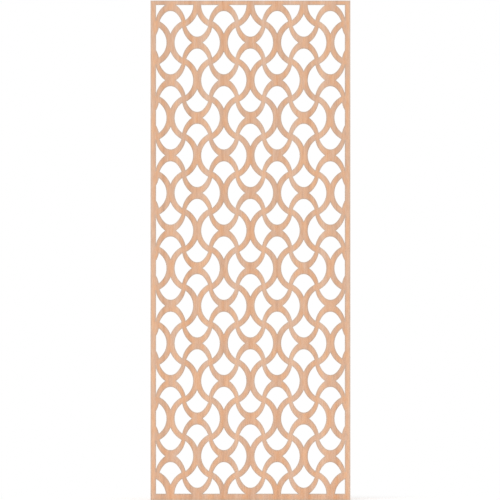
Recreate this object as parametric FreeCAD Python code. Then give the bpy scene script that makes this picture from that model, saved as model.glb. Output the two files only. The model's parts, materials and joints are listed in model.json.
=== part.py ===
import FreeCAD, Part
import math
import os

os.makedirs("parts", exist_ok=True)

# A fretwork panel: a flat sheet of decorative plywood, cut right through with a traditional
# pattern of linked rings and crescents, inside a narrow uncut border.
# The sheet is a stack of veneers glued face to face, and every layer carries the same cut.
# Sizes are in millimetres. X runs across the panel, Z is up and the show face looks along -Y.
# The origin is the middle of the bottom edge.

# The sheet and its uncut border
panel_width = 600.0
panel_height = 1500.0
stile_width = 16.5
top_rail_width = 13.5
bottom_rail_width = 18.8

# The layers of the plywood: a thin decorative veneer on each side of an odd number of core plies
veneer_thickness = 0.6
core_ply_thickness = 1.2
core_ply_count = 9

# The lattice: ring centres along a row, and rows down the panel, each shifted by half a ring
ring_pitch = 160.0
row_pitch = 112.9

# The rings: two arcs each, struck a little to the left and right of the ring's centre
ring_strand_width = 17.5
ring_strand_lap = 10.7      # the strands of two rings side by side run into each other by this much
ring_arc_offset = 12.3      # from the ring's centre to the centre of each arc

# The crescents: one hangs below each ring's centre and one stands above it, back to back.
# Their inner and outer arcs have centres of their own, so that both horns taper.
waist_width = 33.1            # solid where the two crescents meet, from side to side
waist_height = 35.9           # the same solid, from the opening above it to the one below it
crescent_inset = 21.45        # from the ring's inner edge in to the outer arc, where each is widest
crescent_horn_width = 10.5    # from the outer arc in to the inner arc, where each is widest
crescent_outer_offset = 27.6  # each outer arc is struck this far beyond the ring's centre line
crescent_inner_offset = 24.4  # each inner arc is struck this far beyond the ring's centre line
crescent_tip_cut = 4.4928     # the round tip stops this far short of where the two inner arcs would meet

# The foot openings: in each bottom corner one arc runs from the stile to the rail, with no crescent
foot_opening_width = 29.2     # along the bottom rail
foot_opening_height = 43.7    # up the stile
foot_opening_radius = 54.1

# The cutter leaves this radius in every inside corner
corner_radius = 0.3

# Widths from the ring's centre line, radii and arc centres that follow from the sizes above
stem_width = 2 * ring_strand_width - ring_strand_lap
ring_inner_reach = ring_pitch / 2 - stem_width / 2
crescent_outer_reach = ring_inner_reach - crescent_inset
crescent_inner_reach = crescent_outer_reach - crescent_horn_width
ring_inner_radius = ring_inner_reach - ring_arc_offset
ring_outer_radius = ring_inner_radius + ring_strand_width
crescent_outer_radius = crescent_outer_reach + crescent_outer_offset
crescent_inner_radius = crescent_inner_reach + crescent_inner_offset
# The round tip of an opening inside a crescent rises this far above the centres of the inner arcs
crescent_rise = math.sqrt(crescent_inner_radius ** 2 - crescent_inner_offset ** 2) - crescent_tip_cut
# The arcs of the crescents are struck this far below or above the ring's centre
crescent_outer_drop = math.sqrt(crescent_outer_radius ** 2 - (crescent_outer_offset + waist_width / 2) ** 2)
crescent_inner_drop = waist_height / 2 + crescent_rise
panel_thickness = 2 * veneer_thickness + core_ply_count * core_ply_thickness

# The field that the pattern fills
field_left = -panel_width / 2 + stile_width
field_right = panel_width / 2 - stile_width
field_bottom = bottom_rail_width
field_top = panel_height - top_rail_width

origin = FreeCAD.Vector(0, 0, 0)
across = FreeCAD.Vector(1, 0, 0)
up = FreeCAD.Vector(0, 0, 1)


def point(x, z):
    return FreeCAD.Vector(x, 0, z)


def arc(centre, radius, start, end):
    """The shorter arc about a centre, from start to end."""
    middle = (start - centre) + (end - centre)
    middle.normalize()
    return Part.Arc(start, centre + middle * radius, end).toShape()


def crossing(centre_a, radius_a, centre_b, radius_b):
    """Where two circles cross, on the left of the way from the first centre to the second."""
    apart = centre_b - centre_a
    gap = apart.Length
    along = (radius_a ** 2 - radius_b ** 2 + gap ** 2) / (2 * gap)
    aside = math.sqrt(radius_a ** 2 - along ** 2)
    ahead = apart * (1 / gap)
    left = point(-ahead.z, ahead.x)
    return centre_a + ahead * along + left * aside


def rectangle(left, bottom, right, top):
    corners = [point(left, bottom), point(right, bottom), point(right, top), point(left, top)]
    return Part.makePolygon(corners + corners[:1])


def side_opening():
    """The opening on the right of a ring's centre: inside the ring, behind both crescents."""
    ring = point(ring_arc_offset, 0)
    upper = point(-crescent_outer_offset, crescent_outer_drop)
    lower = point(-crescent_outer_offset, -crescent_outer_drop)
    notch = point(waist_width / 2, 0)
    top = crossing(upper, crescent_outer_radius, ring, ring_inner_radius)
    bottom = point(top.x, -top.z)
    edges = [
        arc(ring, ring_inner_radius, bottom, top),
        arc(upper, crescent_outer_radius, top, notch),
        arc(lower, crescent_outer_radius, notch, bottom),
    ]
    return Part.Face(Part.Wire(edges))


def fan_opening():
    """The opening below a ring's centre: inside the crescent, down to the two rings of the next row."""
    right_leg = point(-crescent_inner_offset, -crescent_inner_drop)
    left_leg = point(crescent_inner_offset, -crescent_inner_drop)
    right_ring = point(ring_pitch / 2 - ring_arc_offset, -row_pitch)
    left_ring = point(-ring_pitch / 2 + ring_arc_offset, -row_pitch)
    # The round tip touches both legs and leaves half the waist above it
    tip_radius = crescent_inner_radius ** 2 - crescent_inner_offset ** 2 - crescent_rise ** 2
    tip_radius = tip_radius / (2 * (crescent_inner_radius - crescent_rise))
    tip = point(0, -waist_height / 2 - tip_radius)
    right_touch = right_leg + (tip - right_leg).normalize() * crescent_inner_radius
    left_touch = point(-right_touch.x, right_touch.z)
    right_corner = crossing(right_leg, crescent_inner_radius, right_ring, ring_outer_radius)
    left_corner = point(-right_corner.x, right_corner.z)
    bottom = crossing(left_ring, ring_outer_radius, right_ring, ring_outer_radius)
    edges = [
        Part.Arc(left_touch, tip + up * tip_radius, right_touch).toShape(),
        arc(right_leg, crescent_inner_radius, right_touch, right_corner),
        arc(right_ring, ring_outer_radius, right_corner, bottom),
        arc(left_ring, ring_outer_radius, bottom, left_corner),
        arc(left_leg, crescent_inner_radius, left_corner, left_touch),
    ]
    return Part.Face(Part.Wire(edges))


def foot_opening():
    """The opening in the bottom left corner of the field, under one arc."""
    corner = point(field_left, field_bottom)
    stile_end = corner + up * foot_opening_height
    rail_end = corner + across * foot_opening_width
    centre = crossing(rail_end, foot_opening_radius, stile_end, foot_opening_radius)
    edges = [
        Part.LineSegment(corner, rail_end).toShape(),
        arc(centre, foot_opening_radius, rail_end, stile_end),
        Part.LineSegment(stile_end, corner).toShape(),
    ]
    return Part.Face(Part.Wire(edges))


def rounded(opening):
    """The opening as a round cutter leaves it: every inside corner takes the cutter's radius."""
    path = opening.makeOffset2D(-corner_radius)
    return path.makeOffset2D(corner_radius)


def cuttable(opening):
    """Whether the cutter fits: what is narrower than the cutter stays uncut."""
    return opening.Area > corner_radius * opening.Length


def inside_field(opening):
    box = opening.BoundBox
    across_fits = box.XMin > field_left and box.XMax < field_right
    up_fits = box.ZMin > field_bottom and box.ZMax < field_top
    return across_fits and up_fits


def crowds(opening, foot):
    """Whether an opening of the lattice would leave less than half a strand beside a foot opening."""
    least_strand = ring_strand_width / 2
    near = foot.BoundBox
    near.enlarge(least_strand)
    return near.intersect(opening.BoundBox) and opening.distToShape(foot)[0] < least_strand


def fretwork_wires():
    """The outlines of all openings, whole in the field and cut off straight along the border.

    An opening of the lattice that would crowd a foot opening gives way to it."""
    field = Part.Face(rectangle(field_left, field_bottom, field_right, field_top))
    feet = [foot_opening(), foot_opening().mirror(origin, across)]
    side = side_opening()
    fan = fan_opening()
    openings = [side, side.mirror(origin, across), fan, fan.mirror(origin, up)]
    finished = [rounded(opening) for opening in openings]
    row_count = math.ceil((field_top - field_bottom) / row_pitch)
    ring_count = math.ceil((field_right - field_left) / ring_pitch)
    wires = [rounded(foot).OuterWire for foot in feet]
    for row in range(-1, row_count + 2):
        shift = ring_pitch / 2 if row % 2 == 0 else 0.0
        for ring in range(-ring_count, ring_count + 1):
            centre = point(ring * ring_pitch + shift, field_top - row * row_pitch)
            for opening, whole in zip(openings, finished):
                placed = opening.translated(centre)
                if any(crowds(placed, foot) for foot in feet):
                    continue
                if inside_field(placed):
                    wires.append(whole.translated(centre).OuterWire)
                    continue
                for piece in placed.common(field).Faces:
                    if cuttable(piece):
                        wires.extend(face.OuterWire for face in rounded(piece).Faces)
    return wires


outer_wire = rectangle(-panel_width / 2, 0, panel_width / 2, panel_height)
sheet = Part.makeFace([outer_wire] + fretwork_wires(), "Part::FaceMakerBullseye")

# The layers from the show face to the back
layers = [("front_veneer", veneer_thickness)]
for number in range(1, core_ply_count + 1):
    layers.append((f"core_ply_{number}", core_ply_thickness))
layers.append(("back_veneer", veneer_thickness))

front = -panel_thickness / 2
for name, thickness in layers:
    layer = sheet.translated(FreeCAD.Vector(0, front, 0))
    layer.extrude(FreeCAD.Vector(0, thickness, 0)).exportStep(f"parts/{name}.step")
    front += thickness
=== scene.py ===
import json
import math

import bmesh
import bpy
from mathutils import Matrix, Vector


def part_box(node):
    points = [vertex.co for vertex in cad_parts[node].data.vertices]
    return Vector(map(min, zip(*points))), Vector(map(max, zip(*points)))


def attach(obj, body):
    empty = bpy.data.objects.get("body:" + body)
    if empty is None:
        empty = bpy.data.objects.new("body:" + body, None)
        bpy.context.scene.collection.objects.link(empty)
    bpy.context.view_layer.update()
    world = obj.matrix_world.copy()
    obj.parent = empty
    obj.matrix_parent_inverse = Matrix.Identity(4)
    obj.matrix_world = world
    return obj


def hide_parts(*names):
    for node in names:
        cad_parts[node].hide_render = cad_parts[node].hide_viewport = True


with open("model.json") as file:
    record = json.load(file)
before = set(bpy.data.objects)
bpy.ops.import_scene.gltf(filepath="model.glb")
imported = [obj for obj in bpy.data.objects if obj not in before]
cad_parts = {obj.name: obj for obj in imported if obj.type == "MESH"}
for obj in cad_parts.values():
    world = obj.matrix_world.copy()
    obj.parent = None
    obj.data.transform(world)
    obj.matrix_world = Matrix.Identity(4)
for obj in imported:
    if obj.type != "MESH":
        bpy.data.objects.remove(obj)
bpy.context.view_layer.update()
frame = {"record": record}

# A fretwork panel of decorative plywood: eleven glued layers with one pattern of linked rings and
# crescents cut through them all. Lengths are in metres, X across, Z up, and the show face looks along -Y.

MM = 0.001

# The uncut border of the sheet
STILE_WIDTH = 16.5 * MM
TOP_RAIL_WIDTH = 13.5 * MM
BOTTOM_RAIL_WIDTH = 18.8 * MM

# The lattice: ring centres along a row, and rows down the panel, each shifted by half a ring
RING_PITCH = 160.0 * MM
ROW_PITCH = 112.9 * MM

# The rings: two arcs each, struck a little to the left and right of the ring's centre
RING_STRAND_WIDTH = 17.5 * MM
RING_STRAND_LAP = 10.7 * MM
RING_ARC_OFFSET = 12.3 * MM

# The crescents: two in each ring, back to back, whose inner and outer arcs have centres of their own
WAIST_WIDTH = 33.1 * MM
WAIST_HEIGHT = 35.9 * MM
CRESCENT_INSET = 21.45 * MM
CRESCENT_HORN_WIDTH = 10.5 * MM
CRESCENT_OUTER_OFFSET = 27.6 * MM
CRESCENT_INNER_OFFSET = 24.4 * MM
CRESCENT_TIP_CUT = 4.4928 * MM

# The openings in the bottom corners, and the radius that the cutter leaves in every inside corner
FOOT_OPENING_WIDTH = 29.2 * MM
FOOT_OPENING_HEIGHT = 43.7 * MM
FOOT_OPENING_RADIUS = 54.1 * MM
CORNER_RADIUS = 0.3 * MM

# Widths from a ring's centre line, radii and arc centres that follow from the sizes above
STEM_WIDTH = 2 * RING_STRAND_WIDTH - RING_STRAND_LAP
RING_INNER_REACH = RING_PITCH / 2 - STEM_WIDTH / 2
CRESCENT_OUTER_REACH = RING_INNER_REACH - CRESCENT_INSET
CRESCENT_INNER_REACH = CRESCENT_OUTER_REACH - CRESCENT_HORN_WIDTH
RING_INNER_RADIUS = RING_INNER_REACH - RING_ARC_OFFSET
RING_OUTER_RADIUS = RING_INNER_RADIUS + RING_STRAND_WIDTH
CRESCENT_OUTER_RADIUS = CRESCENT_OUTER_REACH + CRESCENT_OUTER_OFFSET
CRESCENT_INNER_RADIUS = CRESCENT_INNER_REACH + CRESCENT_INNER_OFFSET
CRESCENT_RISE = math.sqrt(CRESCENT_INNER_RADIUS ** 2 - CRESCENT_INNER_OFFSET ** 2) - CRESCENT_TIP_CUT
CRESCENT_OUTER_DROP = math.sqrt(CRESCENT_OUTER_RADIUS ** 2 - (CRESCENT_OUTER_OFFSET + WAIST_WIDTH / 2) ** 2)
CRESCENT_INNER_DROP = WAIST_HEIGHT / 2 + CRESCENT_RISE

# Sanding rounds both faces over along every edge, over this width and down to this depth at the wall
EDGE_WIDTH = 4.2 * MM
EDGE_DEPTH = 0.42 * MM
# Outlines of the rounding, as shares of its width from the wall
EDGE_SHARES = (1.0, 0.5, 0.2, 0.0)
# A cutter's first outline lies in front of the face, so that it crosses the face where the rounding starts
CUTTER_SHARES = (1.5, 0.5, 0.2, 0.0)
# The cutters run this far past each layer, and the field's block a little further
OVERRUN = 0.5 * MM
FIELD_OVERRUN = 0.8 * MM

# Fineness of the arcs, and what is shaded sharp or flat
ARC_STEPS = 14
CORNER_STEPS = 4
SHARP_ANGLE = math.radians(40)
FLAT_FACING = 0.9999    # a face whose normal lies this close to the panel's own is flat

# The layers from front to back, each with its slot, and the veneers' outer faces, which are rounded over
CORE_PLIES = [f"core_ply_{number}" for number in range(1, 10)]
LAYERS = ["front_veneer"] + CORE_PLIES + ["back_veneer"]
SLOT_OF_NODE = {part["node"]: part["material_slot"] for part in frame["record"]["subparts"]}
EASED_FACE = {"front_veneer": "front", "back_veneer": "back"}

# The panel, the field that the pattern fills, and the core, as the frame has them
PANEL_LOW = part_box("front_veneer")[0]
PANEL_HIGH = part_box("back_veneer")[1]
FIELD_LEFT = PANEL_LOW.x + STILE_WIDTH
FIELD_RIGHT = PANEL_HIGH.x - STILE_WIDTH
FIELD_BOTTOM = PANEL_LOW.z + BOTTOM_RAIL_WIDTH
FIELD_TOP = PANEL_HIGH.z - TOP_RAIL_WIDTH
CORNER_RING_ASIDE = math.ceil(FIELD_RIGHT / RING_PITCH) * RING_PITCH
CORE_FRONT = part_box(CORE_PLIES[0])[0].y
CORE_PLY_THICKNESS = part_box(CORE_PLIES[0])[1].y - CORE_FRONT

# Edges of the tone bands across the show veneer, from the panel's middle, and how far they wander
BAND_EDGES = [mm * MM for mm in (-345, -261, -181, -83, -1, 80, 175, 259, 345)]
BAND_WANDER = 4.0 * MM
# The tone across one band, as (share of the band's width, tone) from its edge to its middle
BAND_PROFILE = [(0.0, 0.28), (0.14, 0.56), (0.21, 0.45), (0.32, 0.52), (0.5, 0.72)]
# A fleck is full up to the first distance from its centre and gone at the second, as shares of its cell
FLECK_HEART = 0.11
FLECK_RIM = 0.17
# Warm and greyer wood drift into each other between these levels of their pattern
DRIFT_START = 0.35
DRIFT_END = 0.65
# How often the backing's figure turns between dark and pale over the range of its pattern
FIGURE_RINGS = 7.0
# Where the rounding lies deeper than this below the face, the colour turns darker and greyer, more so in
# front: a finish rubbed thin, and painted edge shade
RIM_WEAR_AND_SHADE_DEPTH = EDGE_DEPTH / 8
FRONT_RIM_WEAR_AND_SHADE = 0.8
BACK_RIM_WEAR_AND_SHADE = 0.6
# The dark glue lines between the plies
GLUE_LINE = 0.1 * MM
# Wood under a thin matt finish
WOOD_IOR = 1.5
WOOD_SPECULAR = 0.3
BUMP_STRENGTH = 0.6

# Studio: a white board under the panel, even light all round, a soft key lamp and a weaker one behind
FLOOR_RADIUS = 1.0
FLOOR_FADE = 0.4        # from here out to its rim the board fades into the air
FLOOR_GAP = 0.2 * MM
FLOOR_SEGMENTS = 96
FLOOR_BOUNCE = 0.82
AIR_LEVEL = 0.73
KEY_TOWARDS = (0.16, 0.74, -0.65)
KEY_LEVEL = 0.27
BACK_TOWARDS = (-0.35, -0.70, -0.60)
BACK_LEVEL = 0.20
LAMP_SOFTNESS = math.radians(30)

# The camera looks square at the panel from far away, and the panel fills the picture's height
CAMERA_DISTANCE = 40.0
CAMERA_REACH = 100.0    # nothing further away is drawn
CAMERA_ASIDE = -1.35 * MM
VIEW_HEIGHT = 1501.5 * MM
SENSOR_WIDTH = 36.0     # in millimetres, as the camera counts it


def add(tree, kind, links=None, stops=(), **settings):
    """Adds a node with its settings and ramp stops, and links or sets its inputs by name or number."""
    node = tree.nodes.new(kind)
    for name, value in settings.items():
        setattr(node, name, value)
    for key, value in (links or {}).items():
        if isinstance(value, bpy.types.NodeSocket):
            tree.links.new(value, node.inputs[key])
        else:
            node.inputs[key].default_value = value
    for number, (position, colour) in enumerate(stops):
        elements = node.color_ramp.elements
        element = elements[number] if number < len(elements) else elements.new(position)
        element.position = position
        element.color = colour
    return node


def linear(hex_colour):
    """An sRGB colour such as #e1b393 as linear red, green, blue and alpha."""
    channels = [int(hex_colour[place:place + 2], 16) / 255 for place in (1, 3, 5)]
    return tuple(c / 12.92 if c <= 0.04045 else ((c + 0.055) / 1.055) ** 2.4 for c in channels) + (1.0,)


def grey(level):
    """A linear grey, for a pattern or a plain light."""
    return (level, level, level, 1.0)


def new_object(name, data):
    made = bpy.data.objects.new(name, data)
    bpy.context.scene.collection.objects.link(made)
    return made


# Outlines of the openings, as points (x, z)

def crossing(centre_a, radius_a, centre_b, radius_b):
    """Where two circles cross, on the left of the way from the first centre to the second."""
    apart = centre_b - centre_a
    along = (radius_a ** 2 - radius_b ** 2 + apart.length_squared) / (2 * apart.length)
    aside = math.sqrt(radius_a ** 2 - along ** 2)
    ahead = apart.normalized()
    return centre_a + ahead * along + Vector((-ahead.y, ahead.x)) * aside


def arc_points(centre, radius, start, end, steps):
    """Points on the shorter arc from start up to, but without, end."""
    first = start - centre
    turn = first.angle_signed(end - centre)
    angle = math.atan2(first.y, first.x)
    turns = [angle - turn * step / steps for step in range(steps)]
    return [centre + radius * Vector((math.cos(a), math.sin(a))) for a in turns]


def opening_outline(sides, corner_radii, grow):
    """Points counter-clockwise round an opening that arcs bound, each corner eased by its radius.

    A side is a circle's centre and radius, and whether the opening lies inside it (1) or outside (-1).
    Corner number n joins side n to the next side. The whole opening is larger by grow all round."""
    grown = [(centre, radius + inside * grow, inside) for centre, radius, inside in sides]
    followers = grown[1:] + grown[:1]
    eases = [radius + grow for radius in corner_radii]
    corners = []
    for side, follower, ease in zip(grown, followers, eases):
        near, far = (side, follower) if side[2] == follower[2] else (follower, side)
        corners.append(crossing(near[0], near[1] - near[2] * ease, far[0], far[1] - far[2] * ease))
    points = []
    for number, corner in enumerate(corners):
        centre, radius = grown[number][:2]
        next_centre, next_radius = followers[number][:2]
        start = centre + (corners[number - 1] - centre).normalized() * radius
        end = centre + (corner - centre).normalized() * radius
        after = next_centre + (corner - next_centre).normalized() * next_radius
        corner_steps = ARC_STEPS if corner_radii[number] > CORNER_RADIUS else CORNER_STEPS
        points += arc_points(centre, radius, start, end, ARC_STEPS)
        points += arc_points(corner, eases[number], end, after, corner_steps)
    return points


def side_opening(grow):
    """The opening on the right of a ring's centre, between the ring and the backs of two crescents."""
    sides = [
        (Vector((RING_ARC_OFFSET, 0)), RING_INNER_RADIUS, 1),
        (Vector((-CRESCENT_OUTER_OFFSET, CRESCENT_OUTER_DROP)), CRESCENT_OUTER_RADIUS, -1),
        (Vector((-CRESCENT_OUTER_OFFSET, -CRESCENT_OUTER_DROP)), CRESCENT_OUTER_RADIUS, -1),
    ]
    return opening_outline(sides, [CORNER_RADIUS] * 3, grow)


def fan_opening(grow):
    """The opening below a ring's centre, inside a crescent and down to the rings of the next row."""
    # The round tip touches both inner arcs and leaves half the waist above it
    tip_radius = CRESCENT_INNER_RADIUS ** 2 - CRESCENT_INNER_OFFSET ** 2 - CRESCENT_RISE ** 2
    tip_radius /= 2 * (CRESCENT_INNER_RADIUS - CRESCENT_RISE)
    ring_aside = RING_PITCH / 2 - RING_ARC_OFFSET
    sides = [
        (Vector((-CRESCENT_INNER_OFFSET, -CRESCENT_INNER_DROP)), CRESCENT_INNER_RADIUS, 1),
        (Vector((CRESCENT_INNER_OFFSET, -CRESCENT_INNER_DROP)), CRESCENT_INNER_RADIUS, 1),
        (Vector((-ring_aside, -ROW_PITCH)), RING_OUTER_RADIUS, -1),
        (Vector((ring_aside, -ROW_PITCH)), RING_OUTER_RADIUS, -1),
    ]
    return opening_outline(sides, [tip_radius] + [CORNER_RADIUS] * 3, grow)


def corner_arc(centre, radius, grow):
    """Points on an arc about a centre beyond the bottom left corner, from the stile to the bottom rail."""
    left = FIELD_LEFT - grow
    bottom = FIELD_BOTTOM - grow
    start = Vector((left, centre.y + math.sqrt(radius ** 2 - (left - centre.x) ** 2)))
    end = Vector((centre.x + math.sqrt(radius ** 2 - (bottom - centre.y) ** 2), bottom))
    return arc_points(centre, radius, start, end, ARC_STEPS) + [end]


def rectangle(left, bottom, right, top, grow):
    return [
        Vector((left - grow, bottom - grow)),
        Vector((right + grow, bottom - grow)),
        Vector((right + grow, top + grow)),
        Vector((left - grow, top + grow)),
    ]


def mirrored(points, x_sign, z_sign):
    return [Vector((point.x * x_sign, point.y * z_sign)) for point in points]


def cell_outlines(grow):
    """The four openings of one ring: right, left, below and above its centre."""
    side = side_opening(grow)
    fan = fan_opening(grow)
    return [side, mirrored(side, -1, 1), fan, mirrored(fan, 1, -1)]


def field_outlines(grow):
    """The field inside the border, without the two bottom corners, down the middle of the rings there."""
    corner_ring = Vector((RING_ARC_OFFSET - CORNER_RING_ASIDE, FIELD_BOTTOM))
    left = corner_arc(corner_ring, RING_INNER_RADIUS + RING_STRAND_WIDTH / 2 - grow, grow)
    right = mirrored(left[::-1], -1, 1)
    return [left + right + rectangle(FIELD_LEFT, FIELD_BOTTOM, FIELD_RIGHT, FIELD_TOP, grow)[2:]]


def foot_outlines(grow):
    """The openings in the two bottom corners, each under one arc from the stile to the rail."""
    stile_end = Vector((FIELD_LEFT, FIELD_BOTTOM + FOOT_OPENING_HEIGHT))
    rail_end = Vector((FIELD_LEFT + FOOT_OPENING_WIDTH, FIELD_BOTTOM))
    centre = crossing(rail_end, FOOT_OPENING_RADIUS, stile_end, FOOT_OPENING_RADIUS)
    left = corner_arc(centre, FOOT_OPENING_RADIUS + grow, grow)
    left.append(Vector((FIELD_LEFT - grow, FIELD_BOTTOM - grow)))
    return [left, mirrored(left, -1, 1)]


def blank_outlines(grow):
    """The outline of the whole sheet, drawn in by grow."""
    return [rectangle(PANEL_LOW.x, PANEL_LOW.z, PANEL_HIGH.x, PANEL_HIGH.z, -grow)]


# Solids between outlines

def loft(name, outlines_at, finish):
    """A closed solid through the outlines that a list of (outlines, depth) gives, from front to back."""
    shape = bmesh.new()
    for loops in zip(*[outlines for outlines, depth in outlines_at]):
        rings = []
        for loop, (outlines, depth) in zip(loops, outlines_at):
            rings.append([shape.verts.new((point.x, depth, point.y)) for point in loop])
        for near, far in zip(rings, rings[1:]):
            for place in range(len(near)):
                after = (place + 1) % len(near)
                shape.faces.new((near[place], near[after], far[after], far[place]))
        shape.faces.new(rings[0])
        shape.faces.new(rings[-1])
    bmesh.ops.triangulate(shape, faces=[face for face in shape.faces if len(face.verts) > 4])
    bmesh.ops.recalc_face_normals(shape, faces=shape.faces)
    mesh = bpy.data.meshes.new(name)
    mesh.materials.append(finish)
    shape.to_mesh(mesh)
    shape.free()
    return new_object(name, mesh)


def rounding(shares):
    """Growth of the outlines along a rounded edge, and their depth below the face."""
    return [(share * EDGE_WIDTH, EDGE_DEPTH * (1 - share) ** 3) for share in shares]


def cutting_depths(front, back, eased, overrun):
    """Growth and depth of a cutter's outlines: straight through, or flared where the face is eased."""
    flare = rounding(CUTTER_SHARES)
    widest = flare[0][0]
    depths = [(0.0, front - overrun), (0.0, back + overrun)]
    if eased == "front":
        depths[:1] = [(widest, front - overrun)] + [(growth, front + depth) for growth, depth in flare]
    if eased == "back":
        depths[1:] = [(growth, back - depth) for growth, depth in flare[::-1]] + [(widest, back + overrun)]
    return depths


def blank_depths(front, back, eased):
    """Growth and depth of the uncut layer's outlines, with its eased face drawn in."""
    edge = rounding(EDGE_SHARES)
    depths = [(0.0, front), (0.0, back)]
    if eased == "front":
        depths[:1] = [(growth, front + depth) for growth, depth in edge]
    if eased == "back":
        depths[1:] = [(growth, back - depth) for growth, depth in edge[::-1]]
    return depths


# The tree that cuts the pattern into one layer

def fretwork_tree():
    """Puts the cutters of one ring at every ring centre, and takes them out of a layer's blank."""
    tree = bpy.data.node_groups.new("fretwork_cut", "GeometryNodeTree")
    new_socket = tree.interface.new_socket
    new_socket("Blank", in_out="INPUT", socket_type="NodeSocketGeometry")
    for name in ("Cutters", "Field", "Feet"):
        new_socket(name, in_out="INPUT", socket_type="NodeSocketObject")
    for name in ("Ring Pitch", "Row Pitch", "Top Row Height"):
        new_socket(name, in_out="INPUT", socket_type="NodeSocketFloat")
    for name in ("Rings Across", "Rows"):
        new_socket(name, in_out="INPUT", socket_type="NodeSocketInt")
    new_socket("Finish", in_out="INPUT", socket_type="NodeSocketMaterial")
    new_socket("Layer", in_out="OUTPUT", socket_type="NodeSocketGeometry")
    inputs = add(tree, "NodeGroupInput").outputs
    rings = inputs["Rings Across"]

    # Ring centres, row by row from the top: every other row is shifted by half a ring
    index = add(tree, "GeometryNodeInputIndex").outputs[0]
    row = add(tree, "ShaderNodeMath", {0: index, 1: rings}, operation="DIVIDE").outputs[0]
    row = add(tree, "ShaderNodeMath", {0: row}, operation="FLOOR").outputs[0]
    ring = add(tree, "ShaderNodeMath", {0: index, 1: rings}, operation="MODULO").outputs[0]
    parity = add(tree, "ShaderNodeMath", {0: row, 1: 2.0}, operation="MODULO").outputs[0]
    shift = add(tree, "ShaderNodeMath", {0: parity, 1: -0.5, 2: ring}, operation="MULTIPLY_ADD").outputs[0]
    middle = add(tree, "ShaderNodeMath", {0: rings, 1: -0.5, 2: shift}, operation="MULTIPLY_ADD").outputs[0]
    middle = add(tree, "ShaderNodeMath", {0: middle, 1: 0.5}, operation="ADD").outputs[0]
    pitch = inputs["Ring Pitch"]
    across = add(tree, "ShaderNodeMath", {0: middle, 1: pitch}, operation="MULTIPLY").outputs[0]
    drop = add(tree, "ShaderNodeMath", {0: row, 1: inputs["Row Pitch"]}, operation="MULTIPLY").outputs[0]
    top = inputs["Top Row Height"]
    height = add(tree, "ShaderNodeMath", {0: top, 1: drop}, operation="SUBTRACT").outputs[0]
    place = add(tree, "ShaderNodeCombineXYZ", {"X": across, "Z": height}).outputs[0]
    count = add(tree, "ShaderNodeMath", {0: rings, 1: inputs["Rows"]}, operation="MULTIPLY").outputs[0]
    centres = add(tree, "GeometryNodePoints", {"Count": count, "Position": place}).outputs[0]

    # One set of cutters at each centre, cut off straight at the border, then taken out of the blank
    cutters = add(tree, "GeometryNodeObjectInfo", {"Object": inputs["Cutters"]}).outputs["Geometry"]
    field = add(tree, "GeometryNodeObjectInfo", {"Object": inputs["Field"]}).outputs["Geometry"]
    feet = add(tree, "GeometryNodeObjectInfo", {"Object": inputs["Feet"]}).outputs["Geometry"]
    placed = add(tree, "GeometryNodeInstanceOnPoints", {"Points": centres, "Instance": cutters}).outputs[0]
    placed = add(tree, "GeometryNodeRealizeInstances", {0: placed}).outputs[0]
    trimmed = add(tree, "GeometryNodeMeshBoolean", operation="INTERSECT", solver="MANIFOLD")
    tree.links.new(placed, trimmed.inputs["Mesh 2"])
    tree.links.new(field, trimmed.inputs["Mesh 2"])
    cut = add(
        tree, "GeometryNodeMeshBoolean",
        {"Mesh 1": inputs["Blank"], "Mesh 2": trimmed.outputs[0]},
        operation="DIFFERENCE", solver="MANIFOLD")
    tree.links.new(feet, cut.inputs["Mesh 2"])
    whole = add(tree, "GeometryNodeRealizeInstances", {0: cut.outputs[0]}).outputs[0]

    # Walls and rounded edges are shaded smooth, and the faces stay flat
    normal = add(tree, "GeometryNodeInputNormal").outputs[0]
    depthwise = add(tree, "ShaderNodeSeparateXYZ", {0: normal}).outputs["Y"]
    depthwise = add(tree, "ShaderNodeMath", {0: depthwise}, operation="ABSOLUTE").outputs[0]
    curved = add(tree, "FunctionNodeCompare", {0: depthwise, 1: FLAT_FACING}, operation="LESS_THAN")
    flat = add(tree, "GeometryNodeSetShadeSmooth", {0: whole, "Shade Smooth": False}).outputs[0]
    smooth = {0: flat, "Selection": curved.outputs[0], "Shade Smooth": True}
    shaded = add(tree, "GeometryNodeSetShadeSmooth", smooth).outputs[0]
    finished = add(tree, "GeometryNodeSetMaterial", {0: shaded, "Material": inputs["Finish"]}).outputs[0]
    add(tree, "NodeGroupOutput", {"Layer": finished})
    return tree


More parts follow.
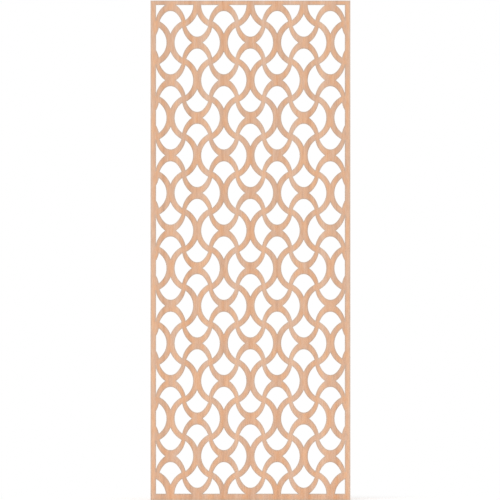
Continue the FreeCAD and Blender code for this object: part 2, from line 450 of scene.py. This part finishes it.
def cut_layer(node, tree, finish, eased):
    """Makes one layer of the sheet, cut with the whole pattern, which stands for its CAD node."""
    low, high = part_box(node)
    depths = cutting_depths(low.y, high.y, eased, OVERRUN)
    field_depths = cutting_depths(low.y, high.y, eased, FIELD_OVERRUN)
    sheet_depths = blank_depths(low.y, high.y, eased)
    cutters = loft("cutters", [(cell_outlines(grow), depth) for grow, depth in depths], finish)
    field = loft("field", [(field_outlines(grow), depth) for grow, depth in field_depths], finish)
    feet = loft("feet", [(foot_outlines(grow), depth) for grow, depth in depths], finish)
    layer = loft(node + "_cut", [(blank_outlines(grow), depth) for grow, depth in sheet_depths], finish)
    values = {
        "Cutters": cutters,
        "Field": field,
        "Feet": feet,
        "Ring Pitch": RING_PITCH,
        "Row Pitch": ROW_PITCH,
        "Top Row Height": FIELD_TOP,
        "Rings Across": 2 * math.ceil((FIELD_RIGHT - FIELD_LEFT) / RING_PITCH / 2) + 2,
        "Rows": math.ceil((FIELD_TOP - FIELD_BOTTOM) / ROW_PITCH) + 1,
        "Finish": finish,
    }
    modifier = layer.modifiers.new("fretwork", "NODES")
    modifier.node_group = tree
    for item in tree.interface.items_tree:
        if item.name in values:
            modifier[item.identifier] = values[item.name]
    evaluated = layer.evaluated_get(bpy.context.evaluated_depsgraph_get())
    mesh = bpy.data.meshes.new_from_object(evaluated)
    layer.modifiers.remove(modifier)
    layer.data = mesh
    mesh.name = layer.name
    mesh.set_sharp_from_angle(angle=SHARP_ANGLE)
    for helper in (cutters, field, feet):
        bpy.data.objects.remove(helper)
    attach(layer, "root")
    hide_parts(node)


# Patterns of wood

def new_material(name):
    material = bpy.data.materials.new(name)
    material.use_nodes = True
    material.node_tree.nodes.clear()
    return material, material.node_tree


def grain(tree, place, axis, width, length, detail):
    """Streaks from 0 to 1 along an axis, with their width and length in metres."""
    scale = [1 / width] * 3
    scale["XYZ".index(axis)] = 1 / length
    stretched = add(tree, "ShaderNodeMapping", {"Vector": place, "Scale": scale}).outputs[0]
    return add(tree, "ShaderNodeTexNoise", {"Vector": stretched, "Scale": 1.0, "Detail": detail}).outputs[0]


def flecks(tree, place, width, length):
    """Short dark rays of beech, 1 on a fleck: one in each cell of this width and length in metres."""
    cells = (1 / width, 1 / width, 1 / length)
    stretched = add(tree, "ShaderNodeMapping", {"Vector": place, "Scale": cells}).outputs[0]
    nearest = add(tree, "ShaderNodeTexVoronoi", {"Vector": stretched, "Scale": 1.0}).outputs["Distance"]
    fading = {"Value": nearest, "From Min": FLECK_RIM, "From Max": FLECK_HEART}
    return add(tree, "ShaderNodeMapRange", fading, interpolation_type="SMOOTHSTEP").outputs[0]


def toned(tree, tone, patterns):
    """Adds patterns from 0 to 1 to a tone, each about its middle and by its own gain."""
    for pattern, gain in patterns:
        centred = add(tree, "ShaderNodeMath", {0: pattern, 1: 0.5}, operation="SUBTRACT").outputs[0]
        summed = add(tree, "ShaderNodeMath", {0: centred, 1: gain, 2: tone}, operation="MULTIPLY_ADD")
        tone = summed.outputs[0]
    return tone


def tone_bands(tree, place):
    """The show veneer's upright bands, whose edges wander a little on their way up."""
    wander = grain(tree, place, "Z", width=70 * MM, length=700 * MM, detail=1.0)
    across = add(tree, "ShaderNodeSeparateXYZ", {0: place}).outputs["X"]
    across = toned(tree, across, [(wander, 2 * BAND_WANDER)])
    first, last = BAND_EDGES[0], BAND_EDGES[-1]
    share = add(tree, "ShaderNodeMapRange", {"Value": across, "From Min": first, "From Max": last}).outputs[0]
    count = len(BAND_EDGES) - 1
    starts = [(edge - first) / (last - first) for edge in BAND_EDGES]
    numbered = [(start, grey(number / count)) for number, start in enumerate(starts)]
    band = add(tree, "ShaderNodeValToRGB", {0: share}, numbered).outputs[0]
    band = add(tree, "ShaderNodeMath", {0: band, 1: count}, operation="MULTIPLY").outputs[0]
    within = add(tree, "ShaderNodeMath", {0: band}, operation="FRACT").outputs[0]
    half = [(position, grey(tone)) for position, tone in BAND_PROFILE]
    other_half = [(1 - position, colour) for position, colour in reversed(half[:-1])]
    return add(tree, "ShaderNodeValToRGB", {0: within}, half + other_half).outputs[0]


def facing(tree, axis):
    """How squarely the surface faces along an axis, from 0 to 1."""
    normal = add(tree, "ShaderNodeTexCoord").outputs["Normal"]
    part = add(tree, "ShaderNodeSeparateXYZ", {0: normal}).outputs[axis]
    return add(tree, "ShaderNodeMath", {0: part, 1: part}, operation="MULTIPLY").outputs[0]


def depth_behind(tree, place, front):
    """How far a place lies behind a plane across the panel's thickness, in metres."""
    depth = add(tree, "ShaderNodeSeparateXYZ", {0: place}).outputs["Y"]
    return add(tree, "ShaderNodeMath", {0: depth, 1: front}, operation="SUBTRACT").outputs[0]


def worn_and_shaded_rim(tree, place, face, tone, colour, strength):
    """The colour of a face, turned darker and greyer on its rounded edge and cut wall: a finish that sanding
    rubs thin, and painted edge shade.
    """
    depth = depth_behind(tree, place, face)
    depth = add(tree, "ShaderNodeMath", {0: depth}, operation="ABSOLUTE").outputs[0]
    rim_shade_reach = {"Value": depth, "From Max": RIM_WEAR_AND_SHADE_DEPTH, "To Max": strength}
    rim_wear_and_shade = add(tree, "ShaderNodeMapRange", rim_shade_reach).outputs[0]
    # Darker, greyer colours for the rim: thin finish and painted edge shade
    greyer = add(tree, "ShaderNodeValToRGB", {0: tone}, [
        (0.0, linear("#b69882")), (0.5, linear("#caad97")), (1.0, linear("#ddc3ae"))]).outputs[0]
    worn_and_shaded_colour = {"Factor": rim_wear_and_shade, 6: colour, 7: greyer}
    return add(tree, "ShaderNodeMix", worn_and_shaded_colour, data_type="RGBA").outputs[2]


def wood_surface(tree, colour, roughness, height, relief):
    """The shader that every wood here ends in, with its pores and fibre as bump."""
    bump = add(tree, "ShaderNodeBump", {"Height": height, "Distance": relief, "Strength": BUMP_STRENGTH})
    shader = add(tree, "ShaderNodeBsdfPrincipled", {
        "Base Color": colour, "Roughness": roughness, "Normal": bump.outputs[0],
        "IOR": WOOD_IOR, "Specular IOR Level": WOOD_SPECULAR})
    add(tree, "ShaderNodeOutputMaterial", {"Surface": shader.outputs[0]})


# Finishes

def steamed_beech_veneer():
    """Steamed beech, sliced and lacquered matt: pinkish tan, soft upright bands, fibre and short flecks.

    The fibre is drawn about three times as coarse as it is, because the real one is too fine to show."""
    material, tree = new_material("steamed_beech_veneer_lacquered_matt")
    place = add(tree, "ShaderNodeTexCoord").outputs["Object"]
    streaks = grain(tree, place, "Z", width=9 * MM, length=600 * MM, detail=3.0)
    fibre = grain(tree, place, "Z", width=3.2 * MM, length=24 * MM, detail=2.0)
    pores = grain(tree, place, "Z", width=0.7 * MM, length=14 * MM, detail=2.0)
    fleck = flecks(tree, place, width=1.9 * MM, length=8.5 * MM)
    bands = tone_bands(tree, place)
    tone = toned(tree, bands, [(streaks, 0.45), (fibre, 0.95), (pores, 0.3), (fleck, -0.3)])
    warmer = add(tree, "ShaderNodeValToRGB", {0: tone}, [
        (0.0, linear("#d69d75")), (0.5, linear("#e7b189")), (1.0, linear("#f3c5a1"))]).outputs[0]
    greyer = add(tree, "ShaderNodeValToRGB", {0: tone}, [
        (0.0, linear("#c99d7f")), (0.5, linear("#dcb193")), (1.0, linear("#eac5ab"))]).outputs[0]
    patches = grain(tree, place, "Z", width=15 * MM, length=60 * MM, detail=2.0)
    drifting = {"Value": patches, "From Min": DRIFT_START, "From Max": DRIFT_END}
    drift = add(tree, "ShaderNodeMapRange", drifting).outputs[0]
    colour = add(tree, "ShaderNodeMix", {"Factor": drift, 6: warmer, 7: greyer}, data_type="RGBA").outputs[2]
    # The rounded edge and cut wall are painted darker and greyer: a finish rubbed thin, and painted edge
    # shade
    worn_and_shaded_colour = worn_and_shaded_rim(tree, place, PANEL_LOW.y, tone, colour, FRONT_RIM_WEAR_AND_SHADE)
    roughness = add(tree, "ShaderNodeMapRange", {"Value": fibre, "To Min": 0.42, "To Max": 0.54}).outputs[0]
    height = toned(tree, pores, [(fleck, -0.8), (fibre, 0.5)])
    wood_surface(tree, worn_and_shaded_colour, roughness, height, relief=0.06 * MM)
    return material


def beech_backing():
    """Beech balancing veneer, peeled and sanded: paler and plainer than the show face, broadly figured."""
    material, tree = new_material("beech_backing_veneer_sanded")
    place = add(tree, "ShaderNodeTexCoord").outputs["Object"]
    figure = grain(tree, place, "Z", width=42 * MM, length=420 * MM, detail=2.0)
    rings = add(tree, "ShaderNodeMath", {0: figure, 1: FIGURE_RINGS}, operation="MULTIPLY").outputs[0]
    rings = add(tree, "ShaderNodeMath", {0: rings, 1: 1.0}, operation="PINGPONG").outputs[0]
    fibre = grain(tree, place, "Z", width=2.8 * MM, length=70 * MM, detail=2.0)
    pores = grain(tree, place, "Z", width=0.7 * MM, length=12 * MM, detail=2.0)
    fleck = flecks(tree, place, width=2.2 * MM, length=6.5 * MM)
    tone = toned(tree, rings, [(rings, -0.7), (fibre, 0.5), (pores, 0.35), (fleck, -0.3)])
    colour = add(tree, "ShaderNodeValToRGB", {0: tone}, [
        (0.0, linear("#cfa581")), (0.5, linear("#dfb896")), (1.0, linear("#ebcaac"))]).outputs[0]
    # The rounded edge and cut wall are painted darker and greyer: a finish rubbed thin, and painted edge
    # shade
    worn_and_shaded_colour = worn_and_shaded_rim(tree, place, PANEL_HIGH.y, tone, colour, BACK_RIM_WEAR_AND_SHADE)
    roughness = add(tree, "ShaderNodeMapRange", {"Value": fibre, "To Min": 0.58, "To Max": 0.7}).outputs[0]
    height = toned(tree, pores, [(fleck, -0.8), (fibre, 0.5)])
    wood_surface(tree, worn_and_shaded_colour, roughness, height, relief=0.08 * MM)
    return material


def birch_ply(name, axis):
    """Birch core ply, peeled and glued: pale straw along the grain, browner on end grain, dark glue lines."""
    material, tree = new_material(name)
    place = add(tree, "ShaderNodeTexCoord").outputs["Object"]
    fibre = grain(tree, place, axis, width=0.9 * MM, length=16 * MM, detail=3.0)
    patches = grain(tree, place, axis, width=18 * MM, length=90 * MM, detail=2.0)
    tone = toned(tree, fibre, [(patches, 0.6)])
    along = add(tree, "ShaderNodeValToRGB", {0: tone}, [
        (0.15, linear("#d3b287")), (0.5, linear("#e2c69e")), (0.85, linear("#eed7b4"))]).outputs[0]
    end = add(tree, "ShaderNodeValToRGB", {0: tone}, [
        (0.2, linear("#a67c55")), (0.5, linear("#bd946b")), (0.8, linear("#cda881"))]).outputs[0]
    both_ways = {"Factor": facing(tree, axis), 6: along, 7: end}
    ply = add(tree, "ShaderNodeMix", both_ways, data_type="RGBA").outputs[2]
    # Depth within a ply, up to its middle and back, shows where its two glue lines are
    depth = depth_behind(tree, place, CORE_FRONT)
    folded = {0: depth, 1: CORE_PLY_THICKNESS / 2}
    depth = add(tree, "ShaderNodeMath", folded, operation="PINGPONG").outputs[0]
    near_glue = {"Value": depth, "From Min": GLUE_LINE, "From Max": GLUE_LINE / 2}
    glue = add(tree, "ShaderNodeMapRange", near_glue).outputs[0]
    with_glue = {"Factor": glue, 6: ply, 7: linear("#6f4c33")}
    glued = add(tree, "ShaderNodeMix", with_glue, data_type="RGBA").outputs[2]
    roughness = add(tree, "ShaderNodeMapRange", {"Value": fibre, "To Min": 0.6, "To Max": 0.78}).outputs[0]
    wood_surface(tree, glued, roughness, fibre, relief=0.1 * MM)
    return material


# Studio

def seen_directly(tree):
    """1 for what the camera sees, straight, in gloss or through glass, and 0 for what lights the object."""
    path = add(tree, "ShaderNodeLightPath").outputs
    seen = path["Is Camera Ray"]
    for ray in ("Is Glossy Ray", "Is Transmission Ray"):
        seen = add(tree, "ShaderNodeMath", {0: seen, 1: path[ray]}, operation="MAXIMUM").outputs[0]
    return seen


def pale_floor():
    """Matt white studio board: white where it is seen, and no brighter than the air around as a reflector.

    It takes the panel's shadow, and towards its rim it fades into the white air."""
    material, tree = new_material("white_studio_board")
    seen = seen_directly(tree)
    whites = {"Factor": seen, 6: grey(FLOOR_BOUNCE), 7: linear("#ffffff")}
    colour = add(tree, "ShaderNodeMix", whites, data_type="RGBA").outputs[2]
    board = add(tree, "ShaderNodeBsdfDiffuse", {"Color": colour}).outputs[0]
    place = add(tree, "ShaderNodeTexCoord").outputs["Object"]
    reach = add(tree, "ShaderNodeVectorMath", {0: place}, operation="LENGTH").outputs["Value"]
    fading = {"Value": reach, "From Min": FLOOR_FADE, "From Max": FLOOR_RADIUS}
    rim = add(tree, "ShaderNodeMapRange", fading, interpolation_type="SMOOTHSTEP").outputs[0]
    fade = add(tree, "ShaderNodeMath", {0: rim, 1: seen}, operation="MULTIPLY").outputs[0]
    air = add(tree, "ShaderNodeEmission", {"Color": linear("#ffffff"), "Strength": 1.0}).outputs[0]
    shader = add(tree, "ShaderNodeMixShader", {0: fade, 1: board, 2: air}).outputs[0]
    add(tree, "ShaderNodeOutputMaterial", {"Surface": shader})
    shape = bmesh.new()
    bmesh.ops.create_circle(shape, cap_ends=True, segments=FLOOR_SEGMENTS, radius=FLOOR_RADIUS)
    bmesh.ops.translate(shape, verts=shape.verts, vec=(0, 0, PANEL_LOW.z - FLOOR_GAP))
    mesh = bpy.data.meshes.new("floor")
    shape.to_mesh(mesh)
    shape.free()
    mesh.materials.append(material)
    new_object("floor", mesh)


def lamp(name, towards, level):
    """A broad lamp far away that shines along a direction and adds this level to a surface facing it."""
    data = bpy.data.lights.new(name, "SUN")
    data.energy = level * math.pi
    data.angle = LAMP_SOFTNESS
    sun = new_object(name, data)
    sun.rotation_euler = Vector(towards).to_track_quat("-Z", "Y").to_euler()


def white_air():
    """White all round where it is seen, and a plain even light on the object."""
    world = bpy.data.worlds.new("studio")
    bpy.context.scene.world = world
    world.use_nodes = True
    tree = world.node_tree
    tree.nodes.clear()
    levels = {"Value": seen_directly(tree), "To Min": AIR_LEVEL, "To Max": 1.0}
    level = add(tree, "ShaderNodeMapRange", levels).outputs[0]
    air = add(tree, "ShaderNodeBackground", {"Color": grey(1.0), "Strength": level}).outputs[0]
    add(tree, "ShaderNodeOutputWorld", {"Surface": air})


def square_camera():
    data = bpy.data.cameras.new("camera")
    data.sensor_width = SENSOR_WIDTH
    data.lens = SENSOR_WIDTH * CAMERA_DISTANCE / VIEW_HEIGHT
    data.clip_end = CAMERA_REACH
    camera = new_object("camera", data)
    camera.location = (CAMERA_ASIDE, PANEL_LOW.y - CAMERA_DISTANCE, PANEL_LOW.z + VIEW_HEIGHT / 2)
    camera.rotation_euler = (math.radians(90), 0, 0)
    bpy.context.scene.camera = camera


# The panel, layer by layer

finishes = {
    "face_veneer": steamed_beech_veneer(),
    "core_crosswise": birch_ply("birch_core_ply_grain_across", "X"),
    "core_lengthwise": birch_ply("birch_core_ply_grain_upright", "Z"),
    "backing_veneer": beech_backing(),
}
cutting = fretwork_tree()
for node in LAYERS:
    cut_layer(node, cutting, finishes[SLOT_OF_NODE[node]], EASED_FACE.get(node))

# Its surroundings

pale_floor()
lamp("key_lamp", KEY_TOWARDS, KEY_LEVEL)
lamp("back_lamp", BACK_TOWARDS, BACK_LEVEL)
white_air()
square_camera()
bpy.context.scene.view_settings.view_transform = "Standard"
